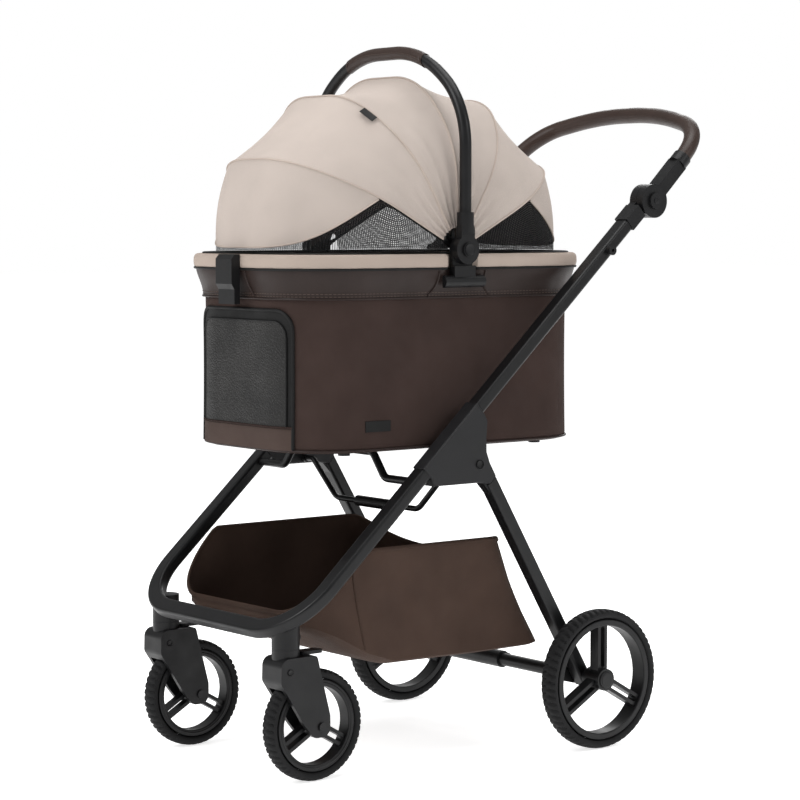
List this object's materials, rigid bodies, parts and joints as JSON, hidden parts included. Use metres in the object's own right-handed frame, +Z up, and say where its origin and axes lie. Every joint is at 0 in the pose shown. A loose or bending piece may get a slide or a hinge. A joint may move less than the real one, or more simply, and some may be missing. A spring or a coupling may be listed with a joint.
{
  "type": "pet stroller",
  "caption": "Folding pet stroller: lift-off fabric carrier with hooped canopy and carry handle on a tube frame with swivel front wheels, rear wheels and a basket.",
  "frame": {"origin": "middle of the bounding box in X and Y, on the ground plane", "axes": "+Z up, -Y the travel direction (front), +X the left side of the person who pushes"},
  "size_m": [0.532, 0.8683, 1.0822],
  "materials": {
    "frame_tube": "black powder coat, fine satin texture",
    "hub_plate": "dark grey moulded nylon, fine grain",
    "steel_rod": "black paint, satin",
    "bright_steel": "zinc plated, lightly brushed",
    "black_moulding": "black moulded nylon, matte",
    "carry_tube": "black satin tube",
    "wheel_plastic": "black moulded nylon, satin",
    "wheel_rubber": "grey-black foam rubber, finely textured",
    "grip_leather": "dark brown stitched faux leather",
    "collar_leather": "dark brown faux leather, grained, double stitched",
    "carrier_fabric": "dark brown woven polyester over a stiff board",
    "basket_fabric": "dark brown woven polyester",
    "rim_fabric": "beige woven polyester, padded roll",
    "canopy_fabric": "beige woven polyester with piped seams and mesh windows",
    "pad_fabric": "beige plush, quilted",
    "bow_rod": "black coated spring steel"
  },
  "bodies": {
    "chassis": {"front_frame": "frame_tube", "upper_tube_left": "frame_tube", "upper_tube_right": "frame_tube", "gusset_left": "hub_plate", "gusset_right": "hub_plate", "front_support_bar": "steel_rod", "rear_support_bar": "steel_rod", "caster_housing_left": "black_moulding", "caster_housing_right": "black_moulding", "handle_hinge_left": "black_moulding", "handle_hinge_right": "black_moulding", "accessory_studs": "black_moulding", "leg_pivot_pins": "bright_steel", "basket": "basket_fabric"},
    "release_bar": {"release_bar": "steel_rod", "release_grip": "black_moulding"},
    "rear_frame": {"rear_leg_left": "frame_tube", "rear_leg_right": "frame_tube", "rear_cross_tube": "frame_tube", "axle_brackets": "black_moulding", "rear_axles": "bright_steel"},
    "brake": {"brake_pedal": "black_moulding"},
    "push_handle": {"push_handle_bar": "frame_tube", "push_handle_grip": "grip_leather", "handle_arms": "black_moulding"},
    "carrier": {"carrier_body": "carrier_fabric", "carrier_collar": "collar_leather", "carrier_rim": "rim_fabric", "carrier_pad": "pad_fabric", "carrier_feet": "black_moulding", "rim_brackets": "black_moulding", "latch_buckle": "black_moulding", "canopy_bow_centre": "bow_rod", "canopy_front": "canopy_fabric", "canopy_rear": "canopy_fabric"},
    "latch_button": {"latch_button": "black_moulding"},
    "carry_handle": {"carry_handle": "carry_tube", "carry_grip": "grip_leather"},
    "canopy_front_mid": {"canopy_bow_front_mid": "bow_rod"},
    "canopy_front_end": {"canopy_bow_front_end": "bow_rod", "visor_front": "canopy_fabric"},
    "canopy_rear_mid": {"canopy_bow_rear_mid": "bow_rod"},
    "canopy_rear_end": {"canopy_bow_rear_end": "bow_rod", "visor_rear": "canopy_fabric"},
    "rear_wheel_left": {"rear_tyre_left": "wheel_rubber", "rear_rim_left": "wheel_plastic"},
    "caster_left": {"caster_fork_left": "black_moulding", "front_axle_left": "bright_steel"},
    "swivel_lock_left": {"swivel_lock_left": "black_moulding"},
    "front_wheel_left": {"front_tyre_left": "wheel_rubber", "front_rim_left": "wheel_plastic"},
    "hinge_button_left": {"hinge_button_left": "black_moulding"},
    "rear_wheel_right": {"rear_tyre_right": "wheel_rubber", "rear_rim_right": "wheel_plastic"},
    "caster_right": {"caster_fork_right": "black_moulding", "front_axle_right": "bright_steel"},
    "swivel_lock_right": {"swivel_lock_right": "black_moulding"},
    "front_wheel_right": {"front_tyre_right": "wheel_rubber", "front_rim_right": "wheel_plastic"},
    "hinge_button_right": {"hinge_button_right": "black_moulding"}
  },
  "joints": [
    {"name": "frame_fold", "type": "hinge", "parent": "chassis", "child": "rear_frame", "pos_m": [0, -0.0848, 0.452], "axis": [-1, 0, 0], "range_deg": [0, 40]},
    {"name": "brake", "type": "hinge", "parent": "rear_frame", "child": "brake", "pos_m": [0, 0.0942, 0.117], "axis": [1, 0, 0], "range_deg": [-20, 0]},
    {"name": "rear_wheel_left", "type": "hinge", "parent": "rear_frame", "child": "rear_wheel_left", "pos_m": [0.2465, 0.1336, 0.108], "axis": [1, 0, 0], "continuous": true},
    {"name": "caster_left", "type": "hinge", "parent": "chassis", "child": "caster_left", "pos_m": [0.16, -0.3978, 0.199], "axis": [0, 0, 1], "continuous": true},
    {"name": "swivel_lock_left", "type": "slide", "parent": "caster_left", "child": "swivel_lock_left", "axis": [0, 0, 1], "range_m": [0, 0.003]},
    {"name": "front_wheel_left", "type": "hinge", "parent": "caster_left", "child": "front_wheel_left", "pos_m": [0.16, -0.3508, 0.0825], "axis": [1, 0, 0], "continuous": true},
    {"name": "rear_wheel_right", "type": "hinge", "parent": "rear_frame", "child": "rear_wheel_right", "pos_m": [-0.2465, 0.1336, 0.108], "axis": [1, 0, 0], "continuous": true},
    {"name": "caster_right", "type": "hinge", "parent": "chassis", "child": "caster_right", "pos_m": [-0.16, -0.3978, 0.199], "axis": [0, 0, 1], "continuous": true},
    {"name": "swivel_lock_right", "type": "slide", "parent": "caster_right", "child": "swivel_lock_right", "axis": [0, 0, 1], "range_m": [0, 0.003]},
    {"name": "front_wheel_right", "type": "hinge", "parent": "caster_right", "child": "front_wheel_right", "pos_m": [-0.16, -0.3508, 0.0825], "axis": [1, 0, 0], "continuous": true},
    {"name": "push_handle", "type": "hinge", "parent": "chassis", "child": "push_handle", "pos_m": [0, 0.2702, 0.846], "axis": [1, 0, 0], "range_deg": [-130, 60]},
    {"name": "hinge_button_left", "type": "slide", "parent": "push_handle", "child": "hinge_button_left", "axis": [-1, 0, 0], "range_m": [0, 0.003], "stiffness_N_per_m": 800},
    {"name": "hinge_button_right", "type": "slide", "parent": "push_handle", "child": "hinge_button_right", "axis": [1, 0, 0], "range_m": [0, 0.003], "stiffness_N_per_m": 800},
    {"name": "release_bar", "type": "hinge", "parent": "chassis", "child": "release_bar", "pos_m": [0, -0.1108, 0.433], "axis": [1, 0, 0], "range_deg": [0, 20]},
    {"name": "carrier_lift", "type": "slide", "parent": "chassis", "child": "carrier", "axis": [0, 0, 1], "range_m": [0, 0.2]},
    {"name": "latch_button", "type": "slide", "parent": "carrier", "child": "latch_button", "axis": [1, 0, 0], "range_m": [0, 0.003], "stiffness_N_per_m": 500},
    {"name": "carry_handle", "type": "hinge", "parent": "carrier", "child": "carry_handle", "pos_m": [0, -0.0888, 0.772], "axis": [1, 0, 0], "range_deg": [-50, 50]},
    {"name": "canopy_front_mid", "type": "hinge", "parent": "carrier", "child": "canopy_front_mid", "pos_m": [0, -0.0888, 0.772], "axis": [-1, 0, 0], "range_deg": [0, 18.5], "deforming": ["canopy_front"]},
    {"name": "canopy_front_end", "type": "hinge", "parent": "canopy_front_mid", "child": "canopy_front_end", "pos_m": [0, -0.0888, 0.772], "axis": [-1, 0, 0], "range_deg": [0, 22.6]},
    {"name": "canopy_rear_mid", "type": "hinge", "parent": "carrier", "child": "canopy_rear_mid", "pos_m": [0, -0.0888, 0.772], "axis": [1, 0, 0], "range_deg": [0, 18.5], "deforming": ["canopy_rear"]},
    {"name": "canopy_rear_end", "type": "hinge", "parent": "canopy_rear_mid", "child": "canopy_rear_end", "pos_m": [0, -0.0888, 0.772], "axis": [1, 0, 0], "range_deg": [0, 22.6]}
  ],
  "couplings": [
    {"joint": "canopy_front_end", "follows": "canopy_front_mid", "ratio": 1.216},
    {"joint": "canopy_rear_end", "follows": "canopy_rear_mid", "ratio": 1.216}
  ]
}
